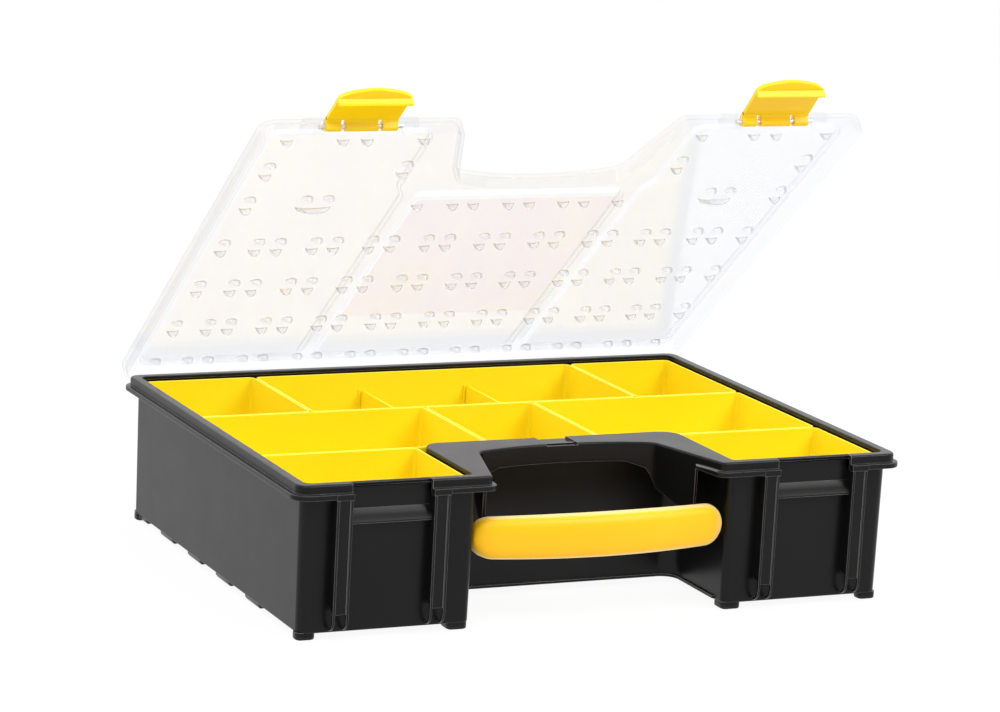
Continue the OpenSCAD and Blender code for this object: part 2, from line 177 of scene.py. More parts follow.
class Shell:
    """Points and faces of a piece, in mm."""

    def __init__(self):
        self.points = []
        self.faces = []

    def ring(self, points):
        start = len(self.points)
        self.points += [Vector(p) for p in points]
        return list(range(start, start + len(points)))

    def bridge(self, a, b, closed=True):
        count = len(a)
        for i in range(count if closed else count - 1):
            j = (i + 1) % count
            self.faces.append((a[i], a[j], b[j], b[i]))

    def fill(self, *rings):
        """Flat fill of the first ring, less the other rings, which are holes."""
        flat = [[(self.points[i].x, self.points[i].y, 0) for i in ring] for ring in rings]
        index = [i for ring in rings for i in ring]
        for tri in tessellate_polygon(flat):
            self.faces.append(tuple(index[i] for i in tri))

    def sweep(self, outline, profile):
        """Rings of the outline at each (offset, z) of profile, which may depend on the outline's point."""
        columns = [profile(v) if callable(profile) else profile for v in outline]
        rings = []
        for k in range(len(columns[0])):
            points = []
            for v, column in zip(outline, columns):
                offset, z = column[k]
                points.append((v[0] + v[2] * offset, v[1] + v[3] * offset, z))
            rings.append(self.ring(points))
        for a, b in zip(rings, rings[1:]):
            self.bridge(a, b)
        return rings

    def prism(self, points, axis, low, high):
        """A flat outline pushed along an axis. points are (y, z) for X, (x, z) for Y and (x, y) for Z."""
        def place(p, t):
            return {"X": (t, p[0], p[1]), "Y": (p[0], t, p[1]), "Z": (p[0], p[1], t)}[axis]
        a = self.ring([place(p, low) for p in points])
        b = self.ring([place(p, high) for p in points])
        self.bridge(a, b)
        self.faces.append(tuple(reversed(a)))
        self.faces.append(tuple(b))

    def slab(self, front, back):
        """A curved plate between two grids of points."""
        a, b = [self.ring(row) for row in front], [self.ring(row) for row in back]
        for rows in (a, b):
            for low, high in zip(rows, rows[1:]):
                self.bridge(low, high, closed=False)
        for ends in ((a[0], b[0]), (a[-1], b[-1]), ([r[0] for r in a], [r[0] for r in b]),
                     ([r[-1] for r in a], [r[-1] for r in b])):
            self.bridge(*ends, closed=False)

    def block(self, low, high):
        self.prism([(low[0], low[1]), (high[0], low[1]), (high[0], high[1]), (low[0], high[1])],
                   "Z", low[2], high[2])


def new_object(name, data):
    obj = bpy.data.objects.new(name, data)
    bpy.context.scene.collection.objects.link(obj)
    return obj


def shell_object(name, shell, move, weld=True):
    """A Blender object in metres, in the CAD model's frame, from a shell."""
    mesh = bpy.data.meshes.new(name)
    move = TO_FRAME @ (move or Matrix.Identity(4))
    mesh.from_pydata([(move @ p) * MM for p in shell.points], [], shell.faces)
    bm = bmesh.new()
    bm.from_mesh(mesh)
    if weld:
        bmesh.ops.remove_doubles(bm, verts=bm.verts, dist=1e-6)
        bmesh.ops.dissolve_degenerate(bm, edges=bm.edges, dist=1e-6)
    bmesh.ops.recalc_face_normals(bm, faces=bm.faces)
    bm.to_mesh(mesh)
    bm.free()
    return new_object(name, mesh)


def smooth(mesh, angle):
    mesh.shade_smooth()
    mesh.set_sharp_from_angle(angle=math.radians(angle))


def even_normals(obj):
    obj.modifiers.new("normals", "WEIGHTED_NORMAL").keep_sharp = True


def piece(name, shell, move=None, bevel=0.0, angle=SHARP_ANGLE, body="base", nodes=(),
          material=None):
    """A finished piece that rides on a body and stands for CAD nodes. bevel is in mm."""
    obj = shell_object(name, shell, move)
    mesh = obj.data
    smooth(mesh, angle)
    if bevel:
        cut = obj.modifiers.new("edges", "BEVEL")
        cut.width = bevel * MM
        cut.segments = 2
        cut.limit_method = "ANGLE"
        cut.angle_limit = math.radians(angle)
        cut.harden_normals = True
    else:
        even_normals(obj)
    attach(obj, body)
    if nodes:
        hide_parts(*nodes)
    if material:
        mesh.materials.append(material)
    return obj


def cut_away(obj, shell, name, move=None):
    """Takes a shell's space out of an unbevelled piece."""
    tool = shell_object(name, shell, move, weld=False)
    obj.modifiers.clear()
    cut = obj.modifiers.new("boolean", "BOOLEAN")
    cut.operation = "DIFFERENCE"
    cut.solver = "EXACT"
    cut.object = tool
    graph = bpy.context.evaluated_depsgraph_get()
    made = bpy.data.meshes.new_from_object(obj.evaluated_get(graph))
    obj.modifiers.clear()
    spent = (obj.data, tool.data)
    obj.data = made
    bpy.data.objects.remove(tool)
    for mesh in spent:
        bpy.data.meshes.remove(mesh)
    made.name = obj.name
    smooth(made, SHARP_ANGLE)
    even_normals(obj)


def arc_points(cx, cy, radius, start, end, steps):
    """Points on an arc, with angles in degrees."""
    made = []
    for i in range(steps + 1):
        a = math.radians(start + (end - start) * i / steps)
        made.append((cx + radius * math.cos(a), cy + radius * math.sin(a)))
    return made


def fillet(radius, start, end, offset, z, steps=4):
    """Profile points (offset, z) on a quarter turn."""
    return arc_points(offset, z, radius, start, end, steps)


# ---- tray ----

def body_outline():
    """Outer face of the tray's walls, round the recess of the handle."""
    corners = [
        (RECESS_X, -WALL_Y, 5, "wall"), (WALL_X, -WALL_Y, 7, "wall"),
        (WALL_X, WALL_Y, 7, "wall"), (-WALL_X, WALL_Y, 7, "wall"),
        (-WALL_X, -WALL_Y, 7, "wall"), (-RECESS_X, -WALL_Y, 5, "wall"),
        (-RECESS_X, RECESS_Y, 12, "wall"), (RECESS_X, RECESS_Y, 12, "wall"),
    ]
    return corner_outline(corners, 8)


def tray_walls(material):
    """Walls and floor of the tray, with a little draft and rounded bottom edges."""
    shell = Shell()
    top, bottom = 0.3, -0.6
    profile = fillet(1.2, -90, 0, bottom - 1.2, FOOT_H + 1.2)
    profile += [(top, RIM_TOP - 0.6), (top - WALL_T, RIM_TOP - 0.6), (bottom - WALL_T, FOOT_H + WALL_T + 1.5)]
    profile += [(bottom - WALL_T - 0.5, FOOT_H + WALL_T + 0.5), (bottom - WALL_T - 1.5, FOOT_H + WALL_T)]
    rings = shell.sweep(body_outline(), profile)
    shell.fill(rings[0])
    shell.fill(rings[-1])
    return piece("tray_walls", shell, nodes=["tray"], material=material)


def rim_outline():
    """Outer edge of the rim: ledge, latch notches and the hand opening."""
    step = -WALL_Y - 0.05
    notch = [(NOTCH_X0, -RIM_Y, "flat"), (NOTCH_X0, step, "notch"), (NOTCH_X1, step, "notch"),
             (NOTCH_X1, -RIM_Y, "flat")]
    right_notch = [(x, y, 0.0, -1.0, kind) for x, y, kind in notch]
    left_notch = [(-x, y, 0.0, -1.0, kind) for x, y, kind in reversed(notch)]
    frame = corner_outline([(RIM_X, -RIM_Y, 8, "ledge"), (RIM_X, RIM_Y, 8, "ledge"),
                            (-RIM_X, RIM_Y, 8, "ledge"), (-RIM_X, -RIM_Y, 8, "ledge")], 8)
    far = RIM_Y + 50
    mouth = corner_outline(mouth_corners() + [(MOUTH_X, -far, 0, ""), (-MOUTH_X, -far, 0, "")])
    mouth = [v for v in mouth if v[4] and v[1] > -RIM_Y + 5]
    lip = corner_outline([(-MOUTH_X - 40, -RIM_Y, 0, ""), (-MOUTH_X, -RIM_Y, 4, "ledge"),
                          (-MOUTH_BACK_X, MOUTH_CORNER_Y, 0, "")])
    left_lip = [v for v in lip if v[4]]
    right_lip = [(-x, y, -nx, ny, kind) for x, y, nx, ny, kind in reversed(left_lip)]
    brow = brow_points(left_lip[-1], mouth, right_lip[0])
    return right_notch + frame + left_notch + left_lip + brow + right_lip


def brow_points(first, mouth, last):
    """The mouth's edge, with doubled points where the cheeks' front ends stand."""
    made = []
    for a, b in zip([first] + mouth, mouth + [last]):
        if a is not first:
            made.append(a)
        if (a[1] - CHEEK_FRONT_Y) * (b[1] - CHEEK_FRONT_Y) < 0:
            along = (CHEEK_FRONT_Y - a[1]) / (b[1] - a[1])
            x = a[0] + (b[0] - a[0]) * along
            inner = b if a[1] < b[1] else a
            kinds = ("brow", "cheek") if a[1] < b[1] else ("cheek", "brow")
            made += [(x, CHEEK_FRONT_Y, inner[2], inner[3], kind) for kind in kinds]
    return made


def brow_bottom(v):
    """Height of the lower edge of the skirt round the hand opening."""
    x, y, kind = abs(v[0]), v[1], v[4]
    if y < CHEEK_FRONT_Y - 0.01 or (y < CHEEK_FRONT_Y + 0.01 and kind == "brow"):
        return LEDGE_BOTTOM
    start, end = 50.0, 64.5
    t = max(0.0, min(1.0, (x - start) / (end - start)))
    return BROW_BOTTOM - (BROW_BOTTOM - CHEEK_BOTTOM) * (1 - math.sqrt(max(0.0, 1 - t**2)))


def rim_profile(v):
    """Section of the rim at a point of its outline, from the top plate round the skirt to the underside."""
    kind = v[4]
    r = 0.6 if kind == "notch" else 1.5
    top = fillet(r, 90, 0, -r, RIM_TOP - r)
    if kind in ("ledge", "flat"):
        under = [(-1.8, LEDGE_BOTTOM), (-1.8, RIM_TOP - 2.4)]
        side = [(0, LEDGE_TOP + 0.7), (0.2, LEDGE_TOP + 0.2), (0.7, LEDGE_TOP), (2.4, LEDGE_TOP)]
        side += [(2.85, LEDGE_TOP - 0.25), (3.0, LEDGE_TOP - 0.8), (3.0, LEDGE_BOTTOM + 0.6)]
        side += [(2.8, LEDGE_BOTTOM + 0.15), (2.3, LEDGE_BOTTOM)]
        return top + side + under
    if kind == "notch":
        zs = (LEDGE_TOP + 0.7, LEDGE_TOP + 0.2, LEDGE_TOP, LEDGE_TOP - 0.1, LEDGE_TOP - 0.25, LEDGE_TOP - 0.8)
        zs += (LEDGE_BOTTOM + 0.6, LEDGE_BOTTOM + 0.15, LEDGE_BOTTOM)
        return top + [(0, z) for z in zs] + [(-1.0, LEDGE_BOTTOM), (-1.0, RIM_TOP - 2.4)]
    low = brow_bottom(v)
    high = LEDGE_TOP + 0.7
    side = [(0, high + (low + 1.0 - high) * i / 6) for i in range(7)]
    side += [(-0.2, low + 0.3), (-0.8, low)]
    return top + side + [(-2.0, low), (-2.0, RIM_TOP - 2.4)]


def inner_rim_outline():
    """Inner edge of the rim, and of the brow behind the hand opening."""
    x, y = WALL_X - WALL_T, WALL_Y - WALL_T
    back = BROW_BACK_Y
    side = RECESS_X + WALL_T
    corners = [
        (side, -y, 3, "wall"), (x, -y, 4.8, "wall"), (x, y, 4.8, "wall"), (-x, y, 4.8, "wall"),
        (-x, -y, 4.8, "wall"), (-side, -y, 3, "wall"), (-side, back, 13, "brow"), (side, back, 13, "brow"),
    ]
    return corner_outline(corners, 8)


def inner_profile(v):
    """Section of the rim's inner edge, down to the walls or to the brow's lower edge."""
    low = BROW_BOTTOM if v[4] == "brow" else RIM_TOP - 2.4 - 1e-3
    top = fillet(0.7, 90, 180, 0.7, RIM_TOP - 0.7)
    drop = [(0, RIM_TOP - 2.0), (0, low + 0.2), (0.4, low), (1.8, low), (1.8, RIM_TOP - 2.4)]
    return top + drop


def tray_rim(material):
    """Rim, ledge, brow over the hand opening and cheeks, as one closed skin."""
    shell = Shell()
    outer = shell.sweep(rim_outline(), rim_profile)
    inner = shell.sweep(inner_rim_outline(), inner_profile)
    shell.fill(outer[0], inner[0])
    shell.fill(outer[-1], inner[-1])
    rim = piece("tray_rim", shell, material=material)
    slot = Shell()
    slot_depth = 1.4
    slot.block((-10, MOUTH_CORNER_Y - 11.5, RIM_TOP - slot_depth), (12, BROW_BACK_Y + 10, RIM_TOP + 5))
    cut_away(rim, slot, "tab_slot")
    for side in (-1, 1):
        room = Shell()
        half = KNUCKLE_HALF + HINGE_PLAY
        room.block((side * HINGE_X - half, RIM_Y + 0.03, LEDGE_BOTTOM - 2),
                   (side * HINGE_X + half, RIM_Y + 6, LEDGE_TOP + 0.75))
        cut_away(rim, room, "knuckle_room")
    return rim


def post_side(x, shell):
    """A fin of a post: straight down the front, then a curl back to the wall."""
    front = -LID_Y - 0.3
    wall = -WALL_Y + 1.2
    foot = FOOT_H + 1.2
    r = 8.0
    curl = arc_points(front + r, foot + r + 0.5, r, 180, 262, 10)
    curl_in = arc_points(front + r, foot + r + 0.5, r - 1.9, 262, 180, 10)
    points = [(front, LEDGE_BOTTOM + 0.5)] + curl + curl_in
    points += [(front + 1.9, foot + 14), (wall, foot + 16), (wall, LEDGE_BOTTOM + 0.5)]
    shell.prism(points, "X", x - FIN_T / 2, x + FIN_T / 2)


def post(x, shell):
    """Two fins with a plate between them, under a cap on the ledge."""
    for edge in (-1, 1):
        post_side(x + edge * (POST_W - FIN_T) / 2, shell)
    low = (x - POST_W / 2 + 0.6, -LID_Y + 0.5, POST_PLATE_BOTTOM)
    high = (x + POST_W / 2 - 0.6, -LID_Y + 2.4, LEDGE_BOTTOM + 0.5)
    shell.block(low, high)
    low = (x - POST_CAP_W / 2, -LID_Y - 0.7, LEDGE_BOTTOM - 0.4)
    high = (x + POST_CAP_W / 2, -RIM_Y + 0.5, LEDGE_TOP + 0.1)
    shell.block(low, high)


def tray_posts(material):
    """Front posts, two beside each latch."""
    shell = Shell()
    for side in (-1, 1):
        for x in POST_X:
            post(side * x, shell)
    return piece("tray_posts", shell, bevel=0.35, material=material)


def hinge_lug_places():
    """Middles of the tray's hinge lugs along X, two beside each knuckle of the lid."""
    return [side * HINGE_X + end * LUG_SHIFT for side in (-1, 1) for end in (-1, 1)]


def pad(shell, x, y, half_w, half_d, radius, profile):
    """A pad under the tray's floor, with rounded corners and a rounded underside."""
    outline = corner_outline([(x - half_w, y - half_d, radius, ""), (x + half_w, y - half_d, radius, ""),
                              (x + half_w, y + half_d, radius, ""), (x - half_w, y + half_d, radius, "")], 5)
    rings = shell.sweep(outline, profile + [(0, FOOT_H + 0.5)])
    shell.fill(rings[0])
    shell.fill(rings[-1])


def strike(side, shell):
    """Wedge on the front wall that a latch's hook catches."""
    face = -WALL_Y + 0.8
    tip = -WALL_Y - 4.6
    wedge = [(face, 73.0), (tip, 73.5), (tip, 74.7), (-WALL_Y - 0.2, 82.5), (face, 83)]
    shell.prism(wedge, "X", side * NOTCH_X - 27.5, side * NOTCH_X + 27.5)


def feet_and_ridges(side, shell):
    """Four feet and a row of five ridges under one side of the tray."""
    for x, y, half_w, half_d in ((96.3, 148, 6.8, 7), (197.2, 149.7, 6.3, 4.8)):
        for end in (-1, 1):
            pad(shell, side * x, end * y, half_w, half_d, 3.5, [(-1.2, 0), (-0.3, 0.4), (0, 1.2)])
    for i in range(5):
        ridge = [(-2.5, 1.0), (-1.5, 1.2), (-0.4, 2.6)]
        pad(shell, side * (WALL_X - 4.5), RIDGE_STEP * i - 72, 3, 13.5, 2, ridge)


def hinge_lug(x, shell):
    """Block with a round end that holds a hinge pin behind the rim."""
    lug = arc_points(HINGE_Y, HINGE_Z, 3.7, -100, 100, 14)
    lug = [(RIM_Y - 1, HINGE_Z - 3.2)] + lug + [(RIM_Y - 1, HINGE_Z + 2.4)]
    shell.prism(lug, "X", x - LUG_HALF, x + LUG_HALF)


def recess_bead(shell):
    """Bead at the foot of the recess's back and side walls."""
    x, y, front = RECESS_X + 0.6, RECESS_Y + 0.6, -WALL_Y + 12
    bead = corner_outline([(-x, front, 0, ""), (-x, y, 12, ""), (x, y, 12, ""), (x, front, 0, "")], 8)
    rings = []
    for offset, rise in ((0, 0), (1.4, 0.3), (1.4, 2.1), (0, 2.4), (-1, 1.2)):
        z = FOOT_H + rise
        rings.append(shell.ring([(v[0] + v[2] * offset, v[1] + v[3] * offset, z) for v in bead]))
    for a, b in zip(rings, rings[1:] + rings[:1]):
        shell.bridge(a, b, closed=False)
    shell.faces.append(tuple(r[0] for r in rings))
    shell.faces.append(tuple(r[-1] for r in reversed(rings)))


def tray_details(material):
    """Strikes, feet, side ridges, hinge lugs and the recess's bead."""
    shell = Shell()
    for side in (-1, 1):
        strike(side, shell)
        feet_and_ridges(side, shell)
    for x in hinge_lug_places():
        hinge_lug(x, shell)
    recess_bead(shell)
    return piece("tray_details", shell, bevel=0.3, material=material)


# ---- handle ----

def handle(material):
    """Thick bar on a wide arc, with round ends."""
    shell = Shell()
    half, bow, z = RECESS_X, 9.5, 56.5
    gap, cap_length = 0.6, 13.5
    radius = (half**2 + bow**2) / (2 * bow)
    steps, around = 64, 40
    rings = []
    for i in range(steps + 1):
        s = math.sin(math.pi * (i / steps - 0.5))
        x = s * (half - gap)
        a = math.asin(x / radius)
        y = -147.5 - bow + radius * (1 - math.cos(a))
        t = max(0.0, (abs(x) - (half - gap - cap_length)) / cap_length)
        cap = math.sqrt(max(0.0, 1 - t**2.2))
        tall = (12.9 + 1.1 * (1 - (x / half) ** 2)) * max(0.03, cap)
        deep = 8.5 * max(0.05, 0.35 + 0.65 * cap if cap > 0.05 else cap * 8)
        points = []
        for k in range(around):
            c, n = math.cos(2 * math.pi * k / around), math.sin(2 * math.pi * k / around)
            px = math.copysign(abs(c) ** 0.62, c) * deep
            pz = math.copysign(abs(n) ** 0.72, n) * tall
            points.append((x + px * math.sin(a), y + px * math.cos(a), z + pz))
        rings.append(shell.ring(points))
    for a, b in zip(rings, rings[1:]):
        shell.bridge(a, b)
    shell.faces.append(tuple(reversed(rings[0])))
    shell.faces.append(tuple(rings[-1]))
    return piece("handle_grip", shell, angle=70, nodes=["handle"], material=material)


# ---- bins ----

def divider_ribs(x, y0, y1, top, shell):
    """Pairs of thin ribs on the long bin's two walls, with a divider's edges between them."""
    shift, half = 1.8, 0.7
    for wall, inward in ((y0, 1), (y1, -1)):
        ends = (wall + inward * (BIN_T + 1.6), wall + inward * 0.8)
        for edge in (-1, 1):
            low = (x + edge * shift - half, min(ends), BIN_Z + 1)
            high = (x + edge * shift + half, max(ends), top)
            shell.block(low, high)


def bin_piece(node, x0, x1, row, material, dividers=()):
    """Open box with thin drafted walls, a rounded lip and rounded corners."""
    shell = Shell()
    y1, y0 = ROWS[row], ROWS[row + 1]
    gap = 0.3
    x0, x1, y0, y1 = x0 + gap, x1 - gap, y0 + gap, y1 - gap
    outline = corner_outline([(x0, y0, 4.5, ""), (x1, y0, 4.5, ""), (x1, y1, 4.5, ""), (x0, y1, 4.5, "")], 7)
    top = BIN_Z + BIN_H
    draft = 0.8
    profile = fillet(1.5, -90, 0, -draft - 1.5, BIN_Z + 1.5)
    profile += [(0, top - 0.5), (-0.15, top - 0.15), (-0.5, top)]
    profile += [(-BIN_T + 0.5, top), (-BIN_T + 0.15, top - 0.15)]
    profile += [(-BIN_T, top - 0.5), (-BIN_T - draft, BIN_Z + 3.2), (-BIN_T - draft - 0.6, BIN_Z + 2.1)]
    profile += [(-BIN_T - draft - 1.8, BIN_Z + 1.6)]
    rings = shell.sweep(outline, profile)
    shell.fill(rings[0])
    shell.fill(rings[-1])
    for x in dividers:
        divider_ribs(x, y0, y1, top - DIVIDER_DROP, shell)
    return piece(node + "_box", shell, body=node + "_body", nodes=[node],
                 material=material)


def divider_piece(node, x, material):
    """Thin plate with rounded corners that stands between the long bin's ribs."""
    shell = Shell()
    y0, y1 = ROWS[1] + 2.7, ROWS[0] - 2.7
    top = BIN_Z + BIN_H - DIVIDER_DROP
    corners = [(y0, 9, 2, ""), (y1, 9, 2, ""), (y1, top, 2.5, ""), (y0, top, 2.5, "")]
    points = [(v[0], v[1]) for v in corner_outline(corners, 5)]
    shell.prism(points, "X", x - 0.8, x + 0.8)
    return piece(node + "_plate", shell, bevel=0.3, body=node + "_body", nodes=[node],
                 material=material)


# ---- lid ----

def lid_move():
    """From the closed lid to the rest pose."""
    pivot = Vector((0, HINGE_Y, HINGE_Z))
    turn = Matrix.Rotation(math.radians(-LID_REST), 4, "X")
    return Matrix.Translation(pivot) @ turn @ Matrix.Translation(-pivot)


def latch_move(side):
    """From the closed latch on the closed lid to the rest pose."""
    pivot = Vector((0, PIVOT_Y, PIVOT_Z))
    turn = Matrix.Rotation(math.radians(-LATCH_REST[side]), 4, "X")
    return lid_move() @ Matrix.Translation(pivot) @ turn @ Matrix.Translation(-pivot)


def lid_outline():
    """Outer edge of the lid, with the latch windows and the hand cut-out."""
    half = LATCH_HALF + 0.4
    way_in = [(-LID_Y, "edge"), (-LID_Y + 0.5, "edge"), (-LID_Y + 0.5, "gap"), (-156.9, "gap")]
    made = []
    for side in (1, -1):
        x0, x1 = side * LATCH_X - half, side * LATCH_X + half
        window = [(x0, y, 1.0, -1.0, kind) for y, kind in way_in]
        window += [(x1, y, -1.0, -1.0, kind) for y, kind in reversed(way_in)]
        made.append(window)
    frame = corner_outline([(LID_X, -LID_Y, 11, "edge"), (LID_X, LID_Y, 11, "edge"),
                            (-LID_X, LID_Y, 11, "edge"), (-LID_X, -LID_Y, 11, "edge")], 10)
    mouth = corner_outline([(-MOUTH_X - 60, -LID_Y, 0, "x")] + lid_mouth() + [(MOUTH_X + 60, -LID_Y, 0, "x")])
    mouth = [v for v in mouth if v[4] != "x"]
    return made[0] + frame + made[1] + mouth


def lid_mouth():
    """Corners of the lid's hand cut-out: the tray's, shrunk and run out to the lid's front edge."""
    made = []
    for x, y, radius, kind in mouth_corners(3.0, 11.0, "edge"):
        if y <= -RIM_Y + 0.01:
            y, radius = -LID_Y, radius + 4
        made.append((x, y, radius, kind))
    return made


def lid_border_profile(v):
    """From the underside's flat, down inside the skirt, round its lower edge and up to the top's flat."""
    low = LID_BOTTOM if v[4] == "edge" else RIM_TOP + 0.5
    inner = LID_TOP - LID_T
    down = [(-LID_T - 1.2, inner), (-LID_T - 0.35, inner - 0.35), (-LID_T, inner - 1.2)]
    around = [(-LID_T, low + 0.4), (-LID_T + 0.4, low), (-0.4, low), (0, low + 0.4)]
    return down + around + fillet(2.2, 0, 90, -2.2, LID_TOP - 2.2, 5)


def pan_outlines():
    """Outlines of the right, left and middle pan, at the top of the lid."""
    edge = CHANNEL_X + CHANNEL_W / 2
    side = [(edge, PAN_MOUTH_Y, 5, ""), (PAN_FRONT_X, PAN_MOUTH_Y - 12, 8, ""), (PAN_FRONT_X, -PAN_Y, 8, ""),
            (PAN_X, -PAN_Y, 9, ""), (PAN_X, PAN_Y, 9, ""), (edge, PAN_Y, 5, "")]
    right = corner_outline(side, 6)
    left = [(-x, y, -nx, ny, kind) for x, y, nx, ny, kind in reversed(right)]
    half = CHANNEL_X - CHANNEL_W / 2
    middle = corner_outline([(-half, PAN_MOUTH_Y, 5, ""), (half, PAN_MOUTH_Y, 5, ""),
                             (half, PAN_Y, 5, ""), (-half, PAN_Y, 5, "")], 6)
    return [right, left, middle]


def lid_sheet(material):
    """Clear lid: skirt, border, sunk pans and the channels between them, as one closed skin."""
    shell = Shell()
    border = shell.sweep(lid_outline(), lid_border_profile)
    tops, unders = [border[-1]], [border[0]]
    floor = PAN_Z + LID_T
    above = [(0.9, LID_TOP), (0.25, LID_TOP - 0.25), (0, LID_TOP - 0.9), (-0.2, floor + 0.9)]
    above += [(-0.45, floor + 0.25), (-1.1, floor)]
    wall, inner = 1.8, LID_TOP - LID_T
    below = [(wall + 0.6, inner), (wall + 0.15, inner - 0.15), (wall, inner - 0.6)]
    below += [(wall - 0.1, PAN_Z + 0.9), (wall - 0.4, PAN_Z + 0.25), (wall - 1.0, PAN_Z)]
    for outline in pan_outlines():
        rings = shell.sweep(outline, above)
        tops.append(rings[0])
        shell.fill(rings[-1])
        rings = shell.sweep(outline, below)
        unders.append(rings[0])
        shell.fill(rings[-1])
    shell.fill(*tops)
    shell.fill(*unders)
    sheet = piece("lid_sheet", shell, lid_move(), angle=40, body="lid", nodes=["lid"],
                  material=material)
    room = Shell()
    half = LUG_HALF + HINGE_PLAY
    for x in hinge_lug_places():
        room.prism(arc_points(HINGE_Y, HINGE_Z, 4.15, 0, 345, 23), "X", x - half, x + half)
    cut_away(sheet, room, "lug_room", lid_move())
    return sheet


def bump(shell, x, y, facing, half=4.4, deep=3.6):
    """Small crescent ridge under the lid, tallest in its middle: its hollow side looks at the grid line."""
    tall, arc, thick = 4.2, 14, 1.7
    rings = []
    for share, drop in ((1.0, -0.1), (0.97, 0.45), (0.9, 0.8), (0.78, 1.0)):
        round_back, hollow = [], []
        for i in range(arc + 1):
            a = math.pi * (0.03 + 0.94 * i / arc)
            z = PAN_Z + 0.25 - tall * drop * math.sin(a) ** 0.8
            reach = half - deep * (1 - share)
            round_back.append((x + reach * math.cos(a), y + facing * deep * share * math.sin(a), z))
            inner = (deep * share - thick) * math.sin(a)
            hollow.append((x + (reach - 0.2) * math.cos(a), y + facing * inner, z))
        rings.append(shell.ring(round_back + hollow[::-1]))
    for a, b in zip(rings, rings[1:]):
        shell.bridge(a, b)
    for ring in (rings[0], rings[-1]):
        count = len(ring)
        for i in range(arc):
            shell.faces.append((ring[i], ring[i + 1], ring[count - 2 - i], ring[count - 1 - i]))


def grid_bumps(rows, dx, dy, shell):
    """Bumps beside the crossings of the grid lines. The last row leaves out those by the front bins."""
    for r, y in enumerate(rows):
        for c in range(-4, 5):
            for sx in (-1, 1):
                x = c * UNIT + sx * dx
                if r == 4 and abs(x) > 88:
                    continue
                if r == 4 and abs(c) == 2 and sx * c > 0:
                    continue
                if r < 4:
                    bump(shell, x, y - dy, -1)
                if r > 0:
                    bump(shell, x, y + dy, 1)


def side_bumps(side, rows, dy, shell):
    """Bumps along one side, and round the bin in one front corner."""
    edge_x, pocket_x, inner_x = 191, 145, 98
    half_row = -110
    for y in rows[1:] + [half_row]:
        bump(shell, side * edge_x, y - dy, -1)
        bump(shell, side * edge_x, y + dy, 1)
    bump(shell, side * edge_x, rows[0] - dy, -1)
    for x in (edge_x - 1, 152.6, 136.4, inner_x):
        bump(shell, side * x, ROWS[3] + dy, 1)
    for end in (-1, 1):
        bump(shell, side * inner_x, half_row + end * dy, end)
        bump(shell, side * pocket_x + end * 7.3, ROWS[2] - dy, -1)
    bump(shell, side * pocket_x, ROWS[2] + dy, 1, half=12.6, deep=4.6)


def lid_bumps(material):
    """Locating bumps on both sides of the grid lines that the bins' walls can follow."""
    shell = Shell()
    dx, dy = 7.5, 5.0
    rows = [ROWS[0] - ROW_UNIT * i for i in range(5)]
    grid_bumps(rows, dx, dy, shell)
    for side in (-1, 1):
        side_bumps(side, rows, dy, shell)
    return piece("lid_bumps", shell, lid_move(), angle=50, body="lid", material=material)


def latch_boss(side, end, shell):
    """Block beside a latch, and the narrow lug that stands in the latch's gap."""
    x = side * LATCH_X
    a, b = x + end * (LATCH_HALF + 0.5), x + end * 38
    front, back, low = -LID_Y - 0.9, -153, RIM_TOP + 0.6
    block = [(front, low), (back, low), (back, LID_TOP - 0.6), (-163, LID_TOP + 0.8)]
    block.append((front, LID_TOP - 1))
    shell.prism(block, "X", min(a, b), max(a, b))
    lug = arc_points(PIVOT_Y, PIVOT_Z, 3.0, 90, 270, 10)
    lug += [(PIVOT_Y + 2.8, RIM_TOP + 0.5), (PIVOT_Y + 6, RIM_TOP + 0.5), (PIVOT_Y + 6, LID_TOP),
            (PIVOT_Y, LID_TOP)]
    middle = x + end * (LATCH_GAP_IN + LATCH_GAP_OUT) / 2
    shell.prism(lug, "X", middle - 1.3, middle + 1.3)


def hinge_knuckle(x, shell):
    """Tube round a hinge pin, joined to the lid's back edge."""
    tube = arc_points(HINGE_Y, HINGE_Z, 3.3, -180, 90, 18)
    tube += [(HINGE_Y, LID_BOTTOM + 5), (HINGE_Y - 2.5, LID_BOTTOM + 5)]
    tube.append((HINGE_Y - 2.5, LID_BOTTOM + 0.2))
    shell.prism(tube, "X", x - KNUCKLE_HALF, x + KNUCKLE_HALF)


def lid_bosses(material):
    """Blocks and lugs that hold the latches, and the hinge knuckles."""
    shell = Shell()
    for side in (-1, 1):
        for end in (-1, 1):
            latch_boss(side, end, shell)
        hinge_knuckle(side * HINGE_X, shell)
    return piece("lid_bosses", shell, lid_move(), bevel=0.4, body="lid", material=material)


def label_film(material):
    """Thin sheet on the floor of the middle pan."""
    shell = Shell()
    z = PAN_Z + LID_T + 0.02
    half, front, back = 72, -64, 94
    corners = [(-half, front, 3, ""), (half, front, 3, ""), (half, back, 3, ""), (-half, back, 3, "")]
    rings = shell.sweep(corner_outline(corners, 5), [(0, z), (0, z + 0.25)])
    shell.fill(rings[0])
    shell.fill(rings[-1])
    return piece("label_film", shell, lid_move(), body="lid", nodes=["lid_label"],
                 material=material)


# ---- latches ----

def latch_knuckles(x, shell):
    """Three knuckles on the latch's pin, with necks down to the plate."""
    inner = LATCH_OUT + LATCH_T
    spans = ((-LATCH_HALF, -LATCH_GAP_OUT), (-LATCH_GAP_IN, LATCH_GAP_IN), (LATCH_GAP_OUT, LATCH_HALF))
    for a, b in spans:
        neck = arc_points(PIVOT_Y, PIVOT_Z, 3.2, -40, 180, 16)
        neck += [(LATCH_OUT, PIVOT_Z), (LATCH_OUT, 95), (inner, 95), (inner + 0.8, 97.6)]
        shell.prism(neck, "X", x + a, x + b)


